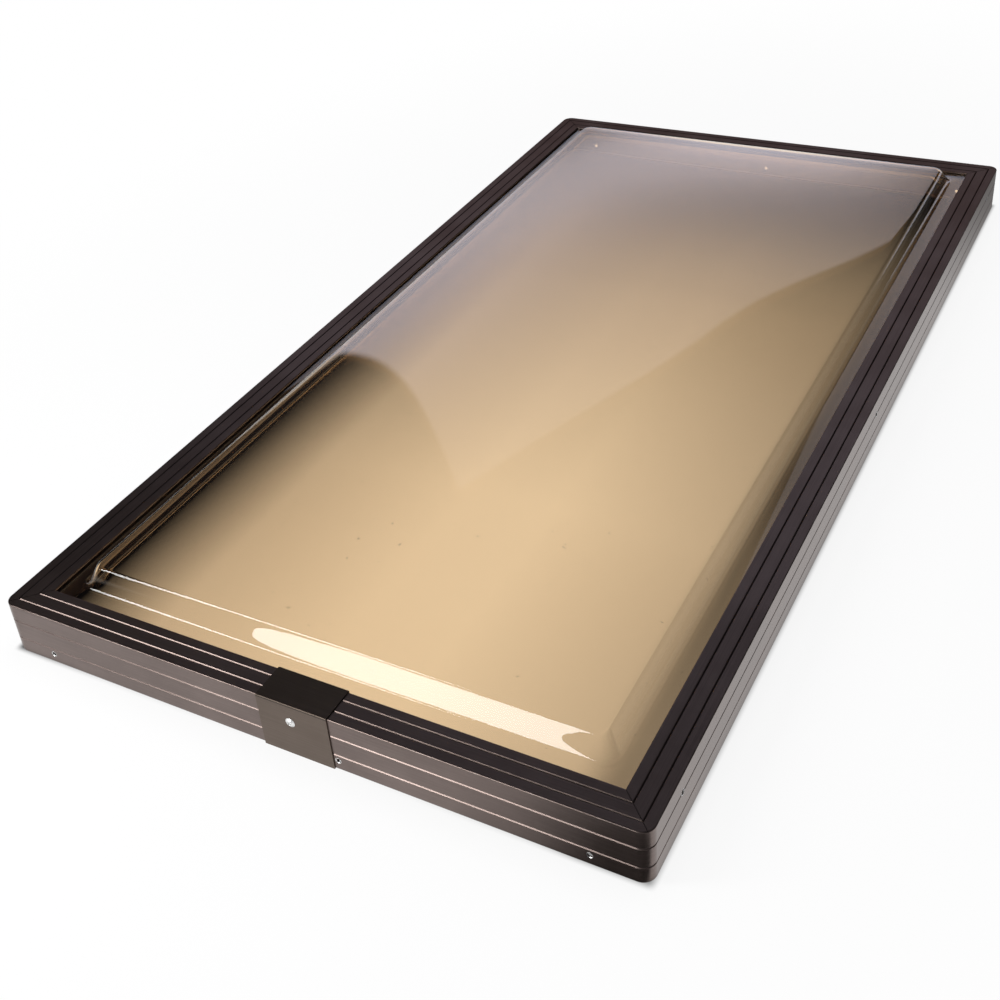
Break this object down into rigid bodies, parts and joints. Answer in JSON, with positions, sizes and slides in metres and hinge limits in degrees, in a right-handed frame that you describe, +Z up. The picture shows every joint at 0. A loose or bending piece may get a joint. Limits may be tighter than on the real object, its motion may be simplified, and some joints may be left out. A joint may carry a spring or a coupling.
{
  "type": "roof skylight",
  "caption": "Fixed rectangular roof skylight: a dark bronze metal frame that fits over a roof curb and holds a tinted domed glazing over a clear inner dome.",
  "frame": {"origin": "middle of the frame's outline in plan, on the plane of the frame's bottom hem", "axes": "+X to the right across the short side, +Y along the long side to the back, +Z up; the joint cover is on the front side, at -Y"},
  "size_m": [0.66, 1.2729, 0.1214],
  "materials": {
    "frame_bronze": "satin dark bronze anodised",
    "cover_bronze": "satin dark bronze anodised",
    "rivet_bright": "bright mill",
    "outer_acrylic": "glossy tinted clear sheet",
    "inner_acrylic": "glossy clear sheet",
    "thermal_pvc": "dull dark brown",
    "black_tape": "dull black foam",
    "spacer_tape": "dull light grey foam",
    "gasket_foam": "dull dark grey foam"
  },
  "bodies": {
    "root": {"retaining_frame": "frame_bronze", "joint_cover": "cover_bronze", "cover_rivet": "rivet_bright", "outer_dome": "outer_acrylic", "inner_dome": "inner_acrylic", "thermal_frame": "thermal_pvc", "cap_seal_front": "black_tape", "cap_seal_back": "black_tape", "cap_seal_left": "black_tape", "cap_seal_right": "black_tape", "dome_spacer_front": "spacer_tape", "dome_spacer_back": "spacer_tape", "dome_spacer_left": "spacer_tape", "dome_spacer_right": "spacer_tape", "bed_seal_front": "black_tape", "bed_seal_back": "black_tape", "bed_seal_left": "black_tape", "bed_seal_right": "black_tape", "curb_gasket_front": "gasket_foam", "curb_gasket_back": "gasket_foam", "curb_gasket_left": "gasket_foam", "curb_gasket_right": "gasket_foam"}
  },
  "joints": []
}
